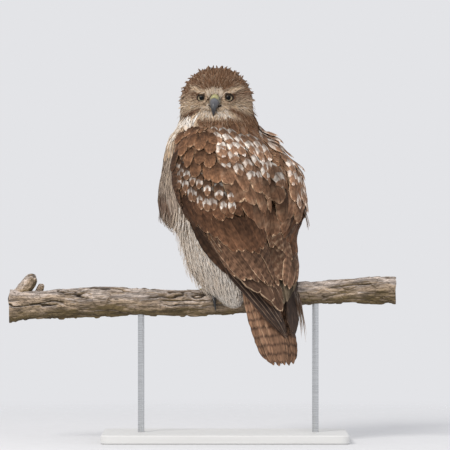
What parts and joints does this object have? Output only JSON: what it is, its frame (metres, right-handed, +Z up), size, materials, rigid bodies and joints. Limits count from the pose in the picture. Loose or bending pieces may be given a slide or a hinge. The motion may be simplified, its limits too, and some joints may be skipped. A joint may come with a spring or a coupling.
{
  "type": "red_tailed_hawk_on_branch",
  "caption": "Young red-tailed hawk perched on a dead branch, seen from behind with its head turned right back, as a life-size museum model on a plain stand",
  "frame": {"origin": "centre of the underside of the stand base", "axes": "+Z up, +X along the perch to the right in the picture, +Y away from the picture's camera"},
  "size_m": [0.6, 0.229, 0.5782],
  "materials": {
    "crown": "feathers, warm dark brown, matte",
    "breast": "feathers, pale buff grey, matte",
    "wing": "feathers, dark brown with pale edges, matte",
    "primaries": "flight feathers, blackish brown, slight sheen",
    "tail": "tail feathers, buff brown with dark bars",
    "thigh": "soft feathers, off-white",
    "scale": "scaly skin, dull yellow",
    "claw": "horn, black, satin",
    "bill": "horn, blue grey, satin",
    "cere": "waxy skin, yellow green",
    "iris": "glossy eye, pale yellow grey iris, black pupil",
    "bark": "weathered dead wood, matte",
    "base": "painted board, pale grey, satin",
    "rod": "brushed"
  },
  "bodies": {
    "root": {"head": "crown", "neck": "crown", "trunk": "breast", "wing_left": "wing", "wing_right": "wing", "wing_tip_left": "primaries", "wing_tip_right": "primaries", "tail": "tail", "thigh_left": "thigh", "thigh_right": "thigh", "shank_left": "scale", "shank_right": "scale", "foot_left": "scale", "foot_right": "scale", "claw_left_inner": "claw", "claw_left_middle": "claw", "claw_left_outer": "claw", "claw_left_hind": "claw", "claw_right_inner": "claw", "claw_right_middle": "claw", "claw_right_outer": "claw", "claw_right_hind": "claw", "bill_upper": "bill", "bill_lower": "bill", "cere": "cere", "eye_left": "iris", "eye_right": "iris", "perch_branch": "bark", "perch_stub": "bark", "perch_nub": "bark", "stand_base": "base", "stand_rod_left": "rod", "stand_rod_right": "rod"}
  },
  "joints": []
}
